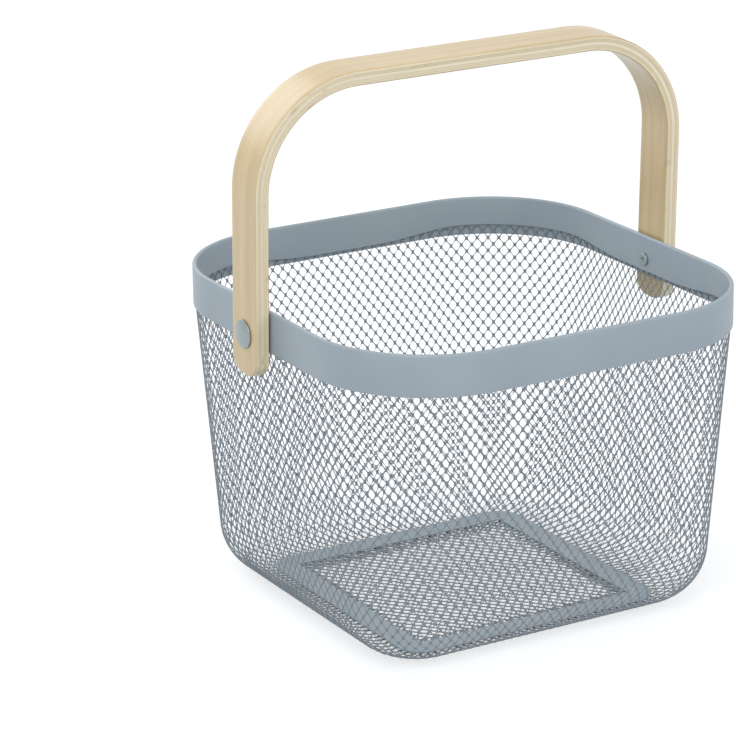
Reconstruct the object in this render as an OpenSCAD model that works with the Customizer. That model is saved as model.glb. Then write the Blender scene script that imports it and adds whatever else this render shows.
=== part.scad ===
// Storage basket: a tapered diamond-mesh body with a folded steel rim and a swinging laminated handle.
// The origin is on the floor under the basket's middle, X runs along the handle's span and Z points up.

/* [Basket] */
// Width of the rim along the handle's span
rim_w = 238; // [225:1:260]
// Depth of the rim across the handle's span
rim_d = 245; // [235:1:255]
// Height of the rim above the floor
basket_h = 175; // [160:1:200]
// Outer radius of the rim's four upright corners
rim_corner_r = 65; // [50:1:75]
// Width of the sloping walls where their planes meet the floor
base_w = 208; // [195:1:220]
// Depth of the sloping walls where their planes meet the floor
base_d = 200; // [190:1:215]
// Radius of the walls' upright corners where their planes meet the floor
base_corner_r = 35; // [30:1:45]
// Radius of the bend from the walls into the floor
bend_r = 31; // [26:1:34]

/* [Rim] */
// Height of the rim's outer band
band_h = 22; // [20:1:26]
// Height of the rim's inner flange
flange_h = 19.5; // [16:0.5:20]
// Thickness of the folded rim across both of its sheets
rim_t = 2.5; // [2.3:0.1:3.2]
// Thickness of the sheet that the rim is folded from
rim_sheet = 0.6; // [0.4:0.1:0.7]

/* [Mesh] */
// Thickness of the expanded sheet
mesh_t = 0.8; // [0.6:0.1:0.8]
// Width of one strand
strand_w = 3; // [2:0.1:4]
// Diamonds in each quarter of the wall, counted round the basket
quarter_columns = 9; // [6:1:9]
// Rows of half diamonds between the rim and the bend
wall_rows = 9; // [6:1:9]
// Rows of half diamonds round the bend
bend_rows = 4; // [3:1:4]
// Depth of the wall mesh that is turned in under the floor panel
turn_in = 15; // [8:1:18]

/* [Floor] */
// Width of the floor frame's steel strip
frame_strip_w = 13; // [10:0.5:18]
// Thickness of the floor frame's steel strip
frame_t = 0.8; // [0.6:0.1:1.2]
// Radius of the floor frame's outer corners
frame_corner_r = 14; // [12:0.5:20]
// How far the floor frame reaches out past the flat of the floor, along the handle's span
frame_reach = 1.3; // [0:0.1:2]
// How far the floor panel runs under the frame on each side
panel_lap = 6; // [3:0.5:7]
// Radius of the floor panel's corners
panel_corner_r = 8; // [6:0.5:12]
// Width of one diamond of the floor panel
panel_cell_w = 19; // [16:0.5:24]
// Length of one diamond of the floor panel
panel_cell_l = 24; // [18:0.5:30]

/* [Handle] */
// Width of the bent wooden strip
handle_w = 24.6; // [20:0.2:30]
// Thickness of each of the strip's five pressed plies
ply_t = 1.6; // [1.4:0.1:1.8]
// Outer radius of the handle's two bends
handle_bend_r = 59; // [45:1:70]
// Height of the pivots above the floor, less the rim's height
pivot_drop = 13; // [12:0.5:13.5]
// Distance from the pivots up to the crossbar's upper face
handle_rise = 132.5; // [132.5:0.5:150]
// Distance from the pivots down to the legs' ends
leg_tail = 21.6; // [20:0.2:26]
// Radius of the legs' lower corners
leg_end_r = 9; // [5:0.5:10]
// Angle at which the handle stands forward of upright
handle_lean = 2; // [0:0.5:4]

/* [Rivets] */
// Diameter of the rivets' low domed heads
head_d = 15; // [12:0.5:18]
// Thickness of the heads in the middle
head_t = 2; // [1.5:0.1:2.5]
// Thickness of the heads at their edges
head_edge_t = 0.9; // [0.6:0.1:1.2]
// Diameter of the rivets' shanks
shank_d = 5; // [4:0.1:5.5]
// Diameter of the rivets' closed tails
tail_d = 7; // [6.4:0.1:7.4]
// Thickness of the rivets' closed tails
tail_t = 1.4; // [1:0.1:2]
// Diameter of the dimple in each tail
dimple_d = 2.6; // [2:0.1:3]
// Diameter of the spacer washers between handle and rim
washer_d = 12; // [10:0.5:14]
// Thickness of the spacer washers
washer_t = 0.8; // [0.6:0.1:1.2]

/* [Hidden] */

$fn = 96;
// Radial gap of the shanks in their holes and flat gap beside the turning handle
running_gap = 0.1;
// Gap between the rim's outer sheet and the mesh inside its fold
hem_gap = 0.15;
// How far cutting shapes run past what they cut
overrun = 1;
// Depth of the dimple as a share of the tail's thickness
dimple_share = 0.7;
// What shearing leaves of a mesh crossing's tip, as a share of it
tip_share = 0.05;

// Radius of the sphere that the rivets' domes are cut from
head_crown = head_t - head_edge_t;
head_dome_r = (head_d * head_d / 4 + head_crown * head_crown) / (2 * head_crown);

// Rim
band_z = basket_h - band_h;
flange_z = basket_h - flange_h;
fold_r = rim_t / 2;
rim_half = [rim_w / 2, rim_d / 2];

// Handle and pivots
pivot_z = basket_h - pivot_drop;
plies = 5;
handle_t = plies * ply_t;
leg_in_x = rim_half.x + washer_t + running_gap;
leg_out_x = leg_in_x + handle_t;
crossbar_z = pivot_z + handle_rise;
bore_r = shank_d / 2 + running_gap;

// Wall mesh: an upright hem inside the rim, a sloping wall, a bend and a turned-in edge
columns = 4 * quarter_columns;
turn_rows = 1;
all_rows = wall_rows + bend_rows + turn_rows;
hem_top_z = pivot_z;
wall_top_z = (band_z + flange_z) / 2;
hem_in = rim_sheet + hem_gap;
hem_r = rim_corner_r - hem_in;
hem_half = [rim_half.x - hem_in, rim_half.y - hem_in];
base_half = [base_w / 2, base_d / 2];
wall_angles = [for (k = [0, 1]) atan((hem_half[k] - base_half[k]) / wall_top_z)];
wall_angle = (wall_angles[0] + wall_angles[1]) / 2;
flat_half = [for (k = [0, 1]) base_half[k] + bend_r * (tan(wall_angles[k]) - 1 / cos(wall_angles[k]))];
bend_top_z = bend_r * (1 - sin(wall_angle));
bend_top_r = base_corner_r + (hem_r - base_corner_r) * bend_top_z / wall_top_z;
flat_r = bend_top_r - bend_r * cos(wall_angle);
mid_round = 2 * (hem_half.x + hem_half.y + base_half.x + base_half.y) - (4 - PI) * (hem_r + base_corner_r);
half_cell_w = mid_round / columns / 2;
half_cell_h = (hem_top_z - bend_top_z) / wall_rows;
// Half the size of a crossing as a share of the half diamond, from the width of the strands
crossing_share = strand_w * norm([half_cell_w, half_cell_h]) / (2 * half_cell_w * half_cell_h);

// Floor
// The frame is square, although the flat of the floor is a little longer one way than the other
frame_half = [flat_half.x + frame_reach, flat_half.x + frame_reach];
opening_half = frame_half - [frame_strip_w, frame_strip_w];
panel_half = opening_half + [panel_lap, panel_lap];
// Half the size of a crossing of the floor panel as a share of its half diamond
panel_crossing_share = strand_w * norm([panel_cell_w, panel_cell_l]) / (panel_cell_w * panel_cell_l);

// A point of a quarter of a rounded ring, at a distance along it from the middle of the side that
// faces -Y, with its outward direction; p and q are the half sizes along and across that side
function quarter_point(p, q, r, d) =
    let (side = p - r, arc = r * PI / 2)
    d < side ? [[d, -q], [0, -1]] :
    d < side + arc ?
        let (a = (d - side) / r * 180 / PI)
        [[side + r * sin(a), r - q - r * cos(a)], [sin(a), -cos(a)]] :
    [[p, r - q + d - side - arc], [1, 0]];

// A vector turned by a number of quarter turns
function turned(v, turns) =
    turns == 0 ? v : turns == 1 ? [-v.y, v.x] : turns == 2 ? -v : [v.y, -v.x];

// A point and outward direction on a rounded ring, at a share of the way round it
function ring_point(half, r, round_share) =
    let (w = 4 * (round_share - floor(round_share)),
         turns = floor(w),
         p = turns % 2 == 0 ? half.x : half.y,
         q = turns % 2 == 0 ? half.y : half.x,
         found = quarter_point(p, q, r, (w - turns) * (p + q - 2 * r + r * PI / 2)))
    [turned(found[0], turns), turned(found[1], turns)];

// The mesh's section at a row: half sizes, corner radius, height and the angle of its outer face
function hem_or_wall(z) =
    z > wall_top_z ? [hem_half, hem_r, z, 0] :
    let (rise_share = z / wall_top_z)
    [base_half + (hem_half - base_half) * rise_share,
     base_corner_r + (hem_r - base_corner_r) * rise_share, z, wall_angle];

function bend(angle) =
    let (out = bend_r * cos(angle))
    [flat_half + [out, out], flat_r + out, bend_r * (1 - sin(angle)), angle];

function turned_in(depth) =
    [flat_half - [depth, depth], max(flat_r - depth, mesh_t), 0, 90];

function section(row) =
    row < wall_rows ? hem_or_wall(hem_top_z - half_cell_h * row) :
    row < wall_rows + bend_rows ? bend(wall_angle + (90 - wall_angle) * (row - wall_rows) / bend_rows) :
    turned_in(turn_in * (row - wall_rows - bend_rows) / turn_rows);

// A vertex on the mesh's outer face (inward 0) or inner face (inward 1)
function mesh_vertex(column, row, inward) =
    let (s = section(row),
         p = ring_point(s[0], s[1], column / (2 * columns)),
         depth = inward * mesh_t)
    [p[0].x - depth * p[1].x * cos(s[3]), p[0].y - depth * p[1].y * cos(s[3]), s[2] + depth * sin(s[3])];

// Each crossing has an upper, right, lower and left corner, on the outer face and then on the inner;
// the sheet is sheared through the crossings of its first and last row, so these have blunt tips
corner_shares = [[0, -crossing_share], [crossing_share, 0], [0, crossing_share], [-crossing_share, 0]];
blunt_tip = tip_share * crossing_share;
mesh_points = [
    for (row = [0 : all_rows], m = [0 : columns - 1], inward = [0, 1], c = corner_shares)
        mesh_vertex(2 * m + (row + 1) % 2 + c.x,
                    min(max(row + c.y, -blunt_tip), all_rows + blunt_tip), inward)];

// Number of a crossing's corner among the points; 0 to 3 are outer and 4 to 7 are inner
function corner(row, m, k) = 8 * (row * columns + (m + columns) % columns) + k;

// A strip of two triangles through four points, and the same on the inner face turned over
function pair(a, b, c, d) = [[a, b, c], [a, c, d]];
function both_faces(q) = concat(pair(q[0], q[1], q[2], q[3]), pair(q[3] + 4, q[2] + 4, q[1] + 4, q[0] + 4));
// The cut side of the sheet along one edge of an outer face
function cut_side(a, b) = pair(b, a, a + 4, b + 4);

function strand(q) = concat(both_faces(q), cut_side(q[0], q[1]), cut_side(q[2], q[3]));

mesh_faces = [
    for (row = [0 : all_rows], m = [0 : columns - 1])
        let (here = [for (k = [0 : 3]) corner(row, m, k)],
             right = [for (k = [0 : 3]) corner(row + 1, m + 1 - row % 2, k)],
             left = [for (k = [0 : 3]) corner(row + 1, m - row % 2, k)])
        each concat(
            both_faces(here),
            row == 0 ? concat(cut_side(here[0], here[1]), cut_side(here[3], here[0])) : [],
            row == all_rows ?
                concat(cut_side(here[1], here[2]), cut_side(here[2], here[3])) :
                concat(strand([here[1], right[0], right[3], here[2]]),
                       strand([here[2], left[1], left[0], here[3]])))];

module rounded_plate(half, r) {
    square([2 * (half.x - r), 2 * half.y], center = true);
    square([2 * half.x, 2 * (half.y - r)], center = true);
    for (x = [-1, 1], y = [-1, 1])
        translate([x * (half.x - r), y * (half.y - r)])
            circle(r);
}

// Places a shape at the left (-1) or right (1) pivot, with its Z axis pointing outwards
module at_pivot(side, out_x) {
    translate([side * out_x, 0, pivot_z])
        rotate([0, side * 90, 0])
            children();
}

// The rim's folded section, with its outer face at zero
module rim_section() {
    translate([-fold_r, basket_h - fold_r])
        difference() {
            circle(fold_r);
            circle(fold_r - rim_sheet);
            translate([-rim_t, -2 * rim_t])
                square([2 * rim_t, 2 * rim_t]);
        }
    translate([-rim_sheet, band_z])
        square([rim_sheet, basket_h - fold_r - band_z]);
    translate([-rim_t, flange_z])
        square([rim_sheet, basket_h - fold_r - flange_z]);
}

module rim_side(half_length, out) {
    translate([0, half_length, 0])
        rotate([90, 0, 0])
            linear_extrude(2 * half_length)
                translate([out, 0])
                    rim_section();
}

module rim_band() {
    color("lightslategray")
        difference() {
            union() {
                for (k = [0 : 3])
                    rotate([0, 0, 90 * k])
                        rim_side(rim_half[(k + 1) % 2] - rim_corner_r, rim_half[k % 2]);
                for (k = [0 : 3])
                    rotate([0, 0, 90 * k])
                        translate([rim_half[k % 2] - rim_corner_r, rim_half[(k + 1) % 2] - rim_corner_r, 0])
                            rotate_extrude(angle = 90)
                                translate([rim_corner_r, 0])
                                    rim_section();
            }
            for (side = [-1, 1])
                at_pivot(side, rim_half.x - rim_t - overrun)
                    cylinder(r = bore_r, h = rim_t + 2 * overrun);
        }
}

module wall_mesh() {
    color("slategray")
        polyhedron(mesh_points, mesh_faces);
}

module diamond(cell_w, cell_l, crossing) {
    x = cell_w / 2 * (1 - crossing);
    y = cell_l / 2 * (1 - crossing);
    polygon([[-x, 0], [0, -y], [x, 0], [0, y]]);
}

module floor_mesh() {
    reach = ceil(panel_half.x / panel_cell_w * 2);
    open_half = [panel_half.x - strand_w, panel_half.y - strand_w];
    color("slategray")
        translate([0, 0, mesh_t])
            linear_extrude(mesh_t)
                difference() {
                    rounded_plate(panel_half, panel_corner_r);
                    for (i = [-reach : reach], j = [-reach : reach])
                        if ((i + j) % 2 == 0
                            && abs(i) * panel_cell_w / 2 < open_half.x
                            && abs(j) * panel_cell_l / 2 < open_half.y)
                            intersection() {
                                translate([i * panel_cell_w / 2, j * panel_cell_l / 2])
                                    diamond(panel_cell_w, panel_cell_l, panel_crossing_share);
                                square(2 * open_half, center = true);
                            }
                }
}

module floor_frame() {
    color("lightslategray")
        translate([0, 0, 2 * mesh_t])
            linear_extrude(frame_t)
                difference() {
                    rounded_plate(frame_half, frame_corner_r);
                    square(2 * opening_half, center = true);
                }
}

// The handle's outline seen from the front, filled down to the legs' ends
module arch(inset, low) {
    r = handle_bend_r - inset;
    x = leg_out_x - inset;
    top = crossbar_z - inset;
    translate([-x, low])
        square([2 * x, top - r - low]);
    translate([r - x, low])
        square([2 * (x - r), top - low]);
    for (side = [-1, 1])
        translate([side * (x - r), top - r])
            circle(r);
}

// The strip's outline seen from the side, with rounded lower corners
module strip_side() {
    low = pivot_z - leg_tail;
    translate([-handle_w / 2, low + leg_end_r])
        square([handle_w, crossbar_z - low]);
    translate([leg_end_r - handle_w / 2, low])
        square([handle_w - 2 * leg_end_r, 2 * leg_end_r]);
    for (side = [-1, 1])
        translate([side * (handle_w / 2 - leg_end_r), low + leg_end_r])
            circle(leg_end_r);
}

// One ply of the bent strip, counted from the outer face
module bent_ply(count) {
    low = pivot_z - leg_tail;
    translate([0, 0, pivot_z])
        rotate([handle_lean, 0, 0])
            translate([0, 0, -pivot_z])
                difference() {
                    intersection() {
                        rotate([90, 0, 0])
                            linear_extrude(handle_w, center = true)
                                difference() {
                                    arch(count * ply_t, low);
                                    arch((count + 1) * ply_t, low - overrun);
                                }
                        rotate([90, 0, 90])
                            linear_extrude(2 * (leg_out_x + overrun), center = true)
                                strip_side();
                    }
                    for (side = [-1, 1])
                        at_pivot(side, leg_in_x - overrun)
                            cylinder(r = bore_r, h = handle_t + 2 * overrun);
                }
}

module ply_outer_face() {
    color("burlywood")
        bent_ply(0);
}

module ply_outer_cross() {
    color("tan")
        bent_ply(1);
}

module ply_middle() {
    color("burlywood")
        bent_ply(2);
}

module ply_inner_cross() {
    color("tan")
        bent_ply(3);
}

module ply_inner_face() {
    color("burlywood")
        bent_ply(4);
}

module washer(side) {
    color("gainsboro")
        at_pivot(side, rim_half.x)
            difference() {
                cylinder(d = washer_d, h = washer_t);
                translate([0, 0, -overrun])
                    cylinder(r = bore_r, h = washer_t + 2 * overrun);
            }
}

// A disc with one rounded edge, drawn as half of its section
module rounded_disc_section(r, thickness, edge_r) {
    square([r, thickness - edge_r]);
    square([r - edge_r, thickness]);
    translate([r - edge_r, thickness - edge_r])
        circle(edge_r);
}

// A low dome, drawn as half of its section
module head_section() {
    intersection() {
        square([head_d / 2, head_t]);
        translate([0, head_t - head_dome_r])
            circle(head_dome_r);
    }
}

module rivet(side) {
    head_x = leg_out_x + running_gap;
    tail_x = rim_half.x - rim_t;
    tail_edge_r = tail_t / 2;
    color("silver") {
        at_pivot(side, head_x)
            rotate_extrude()
                head_section();
        at_pivot(side, tail_x)
            cylinder(d = shank_d, h = head_x - tail_x);
        at_pivot(side, tail_x)
            mirror([0, 0, 1])
                difference() {
                    rotate_extrude()
                        rounded_disc_section(tail_d / 2, tail_t, tail_edge_r);
                    translate([0, 0, tail_t * (1 - dimple_share)])
                        cylinder(d = dimple_d, h = tail_t);
                }
    }
}

module washer_left() {
    washer(-1);
}

module washer_right() {
    washer(1);
}

module rivet_left() {
    rivet(-1);
}

module rivet_right() {
    rivet(1);
}

rim_band();
wall_mesh();
floor_mesh();
floor_frame();
washer_left();
washer_right();
rivet_left();
rivet_right();
ply_outer_face();
ply_outer_cross();
ply_middle();
ply_inner_cross();
ply_inner_face();
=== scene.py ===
"""Looks of a storage basket: an expanded-mesh body, a folded rim and a swinging laminated handle.

Every size is in millimetres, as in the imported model, and becomes metres where a mesh is made.
X runs along the handle's span, Y across it and Z upwards, with the floor at zero.
"""

import logging
import math
from dataclasses import dataclass
from enum import Enum

import bpy
import numpy as np
from bpy.types import Material, NodeSocket, NodeTree, Object
from mathutils import Matrix, Vector


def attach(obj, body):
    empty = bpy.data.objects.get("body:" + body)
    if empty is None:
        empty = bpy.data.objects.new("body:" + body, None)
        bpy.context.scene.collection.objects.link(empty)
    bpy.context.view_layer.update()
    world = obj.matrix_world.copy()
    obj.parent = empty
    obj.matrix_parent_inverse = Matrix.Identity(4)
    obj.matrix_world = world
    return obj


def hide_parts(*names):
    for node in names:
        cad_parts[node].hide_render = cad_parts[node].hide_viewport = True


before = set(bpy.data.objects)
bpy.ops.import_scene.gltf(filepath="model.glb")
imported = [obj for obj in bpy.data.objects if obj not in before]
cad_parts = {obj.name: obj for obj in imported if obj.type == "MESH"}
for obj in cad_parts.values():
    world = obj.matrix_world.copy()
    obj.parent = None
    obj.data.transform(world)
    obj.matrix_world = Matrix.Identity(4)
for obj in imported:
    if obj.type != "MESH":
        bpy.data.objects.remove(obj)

Array = np.ndarray
Point = tuple[float, float, float]
MM = 0.001
WHITE = (1.0, 1.0, 1.0, 1.0)
RIGHT_ANGLE = math.pi / 2
SHEET_SMOOTH_DEG = 40.0  # sharper edges of sheet, wood and rivets stay sharp
MESH_SMOOTH_DEG = 80.0   # the mesh's few faces a strand stand for a rounded one
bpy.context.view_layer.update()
LOG = logging.getLogger("basket")


# ---------------------------------------------------------------- meshes

def turned_outwards(points: Array, faces: list[Array]) -> list[Array]:
    """Reverses the faces of a closed mesh where they point inwards.

    Six times the signed volume is the sum of a . (b x c) over the triangles of each face's fan.

    Args:
        points: vertex positions, one row each.
        faces: arrays of vertex numbers, one row a face, all of one length in an array.

    Returns:
        The same arrays, each row reversed if the volume was negative.
    """
    volume = 0.0
    for group in faces:
        a = points[group[:, 0]]
        for k in range(1, group.shape[1] - 1):
            b, c = points[group[:, k]], points[group[:, k + 1]]
            volume += float(np.einsum("ij,ij->", a, np.cross(b, c)))
    return [group[:, ::-1] for group in faces] if volume < 0 else faces


def lone_edges(faces: list[Array]) -> Array:
    """Finds the edges of an open surface that only one of its faces has.

    The edge from u to v has the number u * n + v, and is alone if no face has v * n + u.

    Args:
        faces: arrays of vertex numbers, one row a face.

    Returns:
        A row of starts and a row of ends, each edge in the direction of its face.
    """
    sides = np.concatenate([np.stack([group, np.roll(group, -1, axis=1)], axis=-1).reshape(-1, 2)
                            for group in faces])
    n = sides.max() + 1
    return sides[~np.isin(sides @ [n, 1], sides @ [1, n])].T


def closed_object(name: str, points: Array, faces: list[Array], materials: list[Material],
                  smooth_deg: float = SHEET_SMOOTH_DEG, uv: Array | None = None) -> Object:
    """Makes an object from a closed surface.

    Args:
        name: the object's name.
        points: vertex positions in millimetres; those that no face uses are dropped.
        faces: arrays of vertex numbers, one row a face.
        materials: its materials, the first of which is on every face.
        smooth_deg: edges that turn by more than this stay sharp.
        uv: the grain map's two coordinates at each vertex, in millimetres.

    Returns:
        The object, at the origin, with its place in its mesh.
    """
    used = np.unique(np.concatenate([group.ravel() for group in faces]))
    number = np.full(len(points), -1)
    number[used] = np.arange(len(used))
    points = points[used]
    faces = turned_outwards(points, [number[group] for group in faces])
    corners = np.concatenate([group.ravel() for group in faces]).astype(np.int32)
    counts = np.concatenate([np.full(len(group), group.shape[1]) for group in faces])
    mesh = bpy.data.meshes.new(name)
    mesh.vertices.add(len(points))
    mesh.vertices.foreach_set("co", (points * MM).astype(np.float32).ravel())
    mesh.loops.add(len(corners))
    mesh.loops.foreach_set("vertex_index", corners)
    mesh.polygons.add(len(counts))
    mesh.polygons.foreach_set("loop_start", (np.cumsum(counts) - counts).astype(np.int32))
    mesh.polygons.foreach_set("use_smooth", np.ones(len(counts), bool))
    if uv is not None:
        layer = mesh.uv_layers.new(name="Grain")
        layer.data.foreach_set("uv", (uv[used][corners] * MM).astype(np.float32).ravel())
    mesh.update(calc_edges=True)
    mesh.validate()
    mesh.set_sharp_from_angle(angle=math.radians(smooth_deg))
    for material in materials:
        mesh.materials.append(material)
    piece = bpy.data.objects.new(name, mesh)
    bpy.context.scene.collection.objects.link(piece)
    return piece


def grid_faces(rows: int, columns: int, wrap_rows: bool = False,
               wrap_columns: bool = False) -> Array:
    """Numbers the quads of a grid whose vertices are counted along its columns, row by row.

    Args:
        rows: vertices down the grid.
        columns: vertices across the grid.
        wrap_rows: the last row joins the first.
        wrap_columns: the last column joins the first.

    Returns:
        One row of four vertex numbers for each quad.
    """
    r = np.arange(rows if wrap_rows else rows - 1)[:, None]
    c = np.arange(columns if wrap_columns else columns - 1)[None, :]
    low, high = r * columns, (r + 1) % rows * columns
    right = (c + 1) % columns
    return np.stack([low + c, low + right, high + right, high + c], axis=-1).reshape(-1, 4)


def ring_object(name: str, plan: Array, height: Array, coat: Material) -> Object:
    """Makes a closed ring: a closed section carried round a closed path.

    Args:
        name: the object's name.
        plan: each point's x and y, by its station on the path and its place in the section.
        height: each point's height, in the same order.
        coat: the ring's material.

    Returns:
        The object.
    """
    points = np.concatenate([plan, height[:, :, None]], axis=-1).reshape(-1, 3)
    return closed_object(name, points, [grid_faces(*height.shape, True, True)], [coat])


def rounded_ring(half_x: Array, half_y: Array, radius: Array, share: Array) -> tuple[Array, Array]:
    """Points on a rounded rectangle at shares of the way round it.

    A quarter runs from the middle of one side to the middle of the next: a straight piece, an arc
    that turns by a right angle and a straight piece. The share picks the quarter and how far along
    its length the point lies, and the quarter is then turned into place.

    Args:
        half_x: half the width along X.
        half_y: half the depth along Y.
        radius: the corners' radius.
        share: 0 to 1 once round, from the middle of the side that faces -Y towards +X.

    Returns:
        The points and their outward directions, each with x and y in the last axis.
    """
    half_x, half_y, radius, share = np.broadcast_arrays(half_x, half_y, radius, share)
    w = 4 * (share % 1.0)
    turn = np.floor(w).astype(int) % 4
    even = turn % 2 == 0
    along, across = np.where(even, half_x, half_y), np.where(even, half_y, half_x)
    straight, arc = along - radius, radius * math.pi / 2
    d = (w - np.floor(w)) * (along + across - 2 * radius + arc)
    a = np.clip((d - straight) / radius, 0, RIGHT_ANGLE)
    x = np.minimum(d, straight) + radius * np.sin(a)
    y = radius * (1 - np.cos(a)) - across + np.maximum(d - straight - arc, 0)
    c, s = np.array([1, 0, -1, 0])[turn], np.array([0, 1, 0, -1])[turn]
    points = np.stack([x * c - y * s, x * s + y * c], axis=-1)
    outward = np.stack([np.sin(a) * c + np.cos(a) * s, np.sin(a) * s - np.cos(a) * c], axis=-1)
    return points, outward


def arc_points(centre: tuple[float, float], radius: float, start_deg: float, turn_deg: float,
               steps: int) -> Array:
    """Points on an arc of a section: centre + radius * (cos, sin) at even angles.

    Args:
        centre: the arc's centre in the section's plane.
        radius: its radius.
        start_deg: the angle of the first point.
        turn_deg: how far the arc turns.
        steps: how many equal steps it takes.

    Returns:
        One row for each of its steps + 1 points.
    """
    a = np.radians(start_deg + turn_deg * np.linspace(0, 1, steps + 1))
    return np.stack([centre[0] + radius * np.cos(a), centre[1] + radius * np.sin(a)], axis=-1)


# ---------------------------------------------------------------- finishes

def linear(hex_colour: str) -> tuple[float, ...]:
    """An sRGB hex colour as the linear value that a shader takes, by the standard's own curve."""
    c = np.array([int(hex_colour[i:i + 2], 16) for i in (1, 3, 5)]) / 255.0
    return *np.where(c <= 0.04045, c / 12.92, ((c + 0.055) / 1.055) ** 2.4).tolist(), 1.0


def add_node(tree: NodeTree, kind: str, inputs: dict | None = None, settings: dict | None = None,
             stops: tuple[tuple[float, str], ...] = ()) -> bpy.types.bpy_prop_collection:
    """Adds a node to a tree, with its settings and links.

    Args:
        tree: the material's or world's node tree.
        kind: the node's type name without the ShaderNode that all of them start with.
        inputs: socket names or numbers, each with a value or with the output that links to it.
        settings: attributes of the node.
        stops: a colour ramp's two positions and hex colours, the lower one first.

    Returns:
        The node's outputs.
    """
    node = tree.nodes.new("ShaderNode" + kind)
    for key, value in (settings or {}).items():
        setattr(node, key, value)
    for key, value in (inputs or {}).items():
        if isinstance(value, NodeSocket):
            tree.links.new(value, node.inputs[key])
        else:
            node.inputs[key].default_value = value
    for k, (position, colour) in enumerate(stops):
        element = node.color_ramp.elements[k]
        element.position, element.color = position, linear(colour)
    return node.outputs


def dress(piece: Object, material: Material) -> None:
    """Gives a piece one material in place of any that it has."""
    piece.data.materials.clear()
    piece.data.materials.append(material)


@dataclass(frozen=True)
class Finish:
    """What all finishes share: a name, and a material made round the finish's own shader."""

    name: str

    def shader(self, tree: NodeTree) -> NodeSocket:
        """Each finish makes its own shader."""
        raise NotImplementedError

    def material(self) -> Material:
        """Makes the finish's material.

        Returns:
            The material.
        """
        material = bpy.data.materials.new(self.name)
        material.use_nodes = True
        tree = material.node_tree
        tree.nodes.clear()
        add_node(tree, "OutputMaterial", {"Surface": self.shader(tree)})
        return material


@dataclass(frozen=True)
class PowderCoat(Finish):
    """Satin polyester powder baked on steel: an even colour with a fine orange peel.

    The powder melts into low waves about a millimetre and a half across, which break up its
    highlights, and its colour clouds very faintly over a few centimetres.
    """

    colour: str
    cloud_colour: str
    roughness: float = 0.42
    gloss_up: float = 0.05
    gloss_down: float = 0.07
    cloud_mm: float = 38.0
    cloud_stops: tuple[float, float] = (0.35, 0.65)
    peel_mm: float = 1.4
    peel_height_mm: float = 0.05
    ior: float = 1.5

    def shader(self, tree: NodeTree) -> NodeSocket:
        """Makes the coat on Object coordinates.

        Args:
            tree: the material's node tree.

        Returns:
            The shader's output.
        """
        place = add_node(tree, "TexCoord")["Object"]
        cloud = add_node(tree, "TexNoise", {"Vector": place, "Scale": 1 / (self.cloud_mm * MM),
                                            "Detail": 2.0})["Fac"]
        stops = tuple(zip(self.cloud_stops, (self.colour, self.cloud_colour)))
        colour = add_node(tree, "ValToRGB", {"Fac": cloud}, stops=stops)["Color"]
        peel = add_node(tree, "TexNoise", {"Vector": place, "Scale": 1 / (self.peel_mm * MM),
                                           "Detail": 1.0})["Fac"]
        low, high = self.roughness - self.gloss_up, self.roughness + self.gloss_down
        gloss = add_node(tree, "MapRange", {"Value": peel, "To Min": low,
                                            "To Max": high})["Result"]
        bump = add_node(tree, "Bump", {"Height": peel, "Distance": self.peel_height_mm * MM,
                                       "Strength": 0.5})["Normal"]
        return add_node(tree, "BsdfPrincipled", {"Base Color": colour, "Roughness": gloss,
                                                 "Normal": bump, "IOR": self.ior})["BSDF"]


@dataclass(frozen=True)
class BirchVeneer(Finish):
    """Rotary-cut birch veneer under a coat of clear satin lacquer, which has its own soft gloss.

    Long pale streaks follow the strip, over bands about five times as wide, with short dark pores
    a few tenths of a millimetre wide, drawn a little coarser than life so that they show.
    """

    pale: str
    deep: str
    pore: str
    roughness: float = 0.38
    streak_mm: float = 1.7
    stretch: float = 26.0
    bands_per_streak: float = 0.21
    pores_per_streak: float = 3.6
    streak_share: float = 0.55
    tone_stops: tuple[float, float] = (0.55, 0.98)
    pore_stops: tuple[float, float] = (0.66, 0.78)
    relief_mm: float = 0.03
    ior: float = 1.5
    lacquer: float = 0.7
    lacquer_roughness: float = 0.32

    def shader(self, tree: NodeTree) -> NodeSocket:
        """Makes the veneer on the strip's own grain map.

        Args:
            tree: the material's node tree.

        Returns:
            The shader's output.
        """
        grain = add_node(tree, "UVMap", settings={"uv_map": "Grain"})["UV"]
        width = self.streak_mm * MM
        scale = (1 / (width * self.stretch), 1 / width, 1.0)
        long = add_node(tree, "Mapping", {"Vector": grain, "Scale": scale})["Vector"]
        streak = add_node(tree, "TexNoise", {"Vector": long, "Scale": 1.0, "Detail": 4.0,
                                             "Roughness": 0.6, "Distortion": 0.3})["Fac"]
        band = add_node(tree, "TexNoise", {"Vector": long, "Scale": self.bands_per_streak,
                                           "Detail": 2.0, "Distortion": 0.6})["Fac"]
        tone = add_node(tree, "Math", {0: streak, 1: self.streak_share, 2: band},
                        {"operation": "MULTIPLY_ADD"})[0]
        stops = tuple(zip(self.tone_stops, (self.pale, self.deep)))
        colour = add_node(tree, "ValToRGB", {"Fac": tone}, stops=stops)["Color"]
        pores = add_node(tree, "TexNoise", {"Vector": long, "Scale": self.pores_per_streak,
                                            "Detail": 1.0, "Roughness": 0.4})["Fac"]
        low, high = self.pore_stops
        spots = add_node(tree, "MapRange",
                         {"Value": pores, "From Min": low, "From Max": high})["Result"]
        mixed = add_node(tree, "Mix", {"Factor": spots, "A": colour, "B": linear(self.pore)},
                         {"data_type": "RGBA"})["Result"]
        bump = add_node(tree, "Bump", {"Height": streak, "Distance": self.relief_mm * MM,
                                       "Strength": 0.4})["Normal"]
        return add_node(tree, "BsdfPrincipled", {
            "Base Color": mixed, "Roughness": self.roughness, "IOR": self.ior, "Normal": bump,
            "Coat Weight": self.lacquer, "Coat Roughness": self.lacquer_roughness})["BSDF"]


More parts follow.
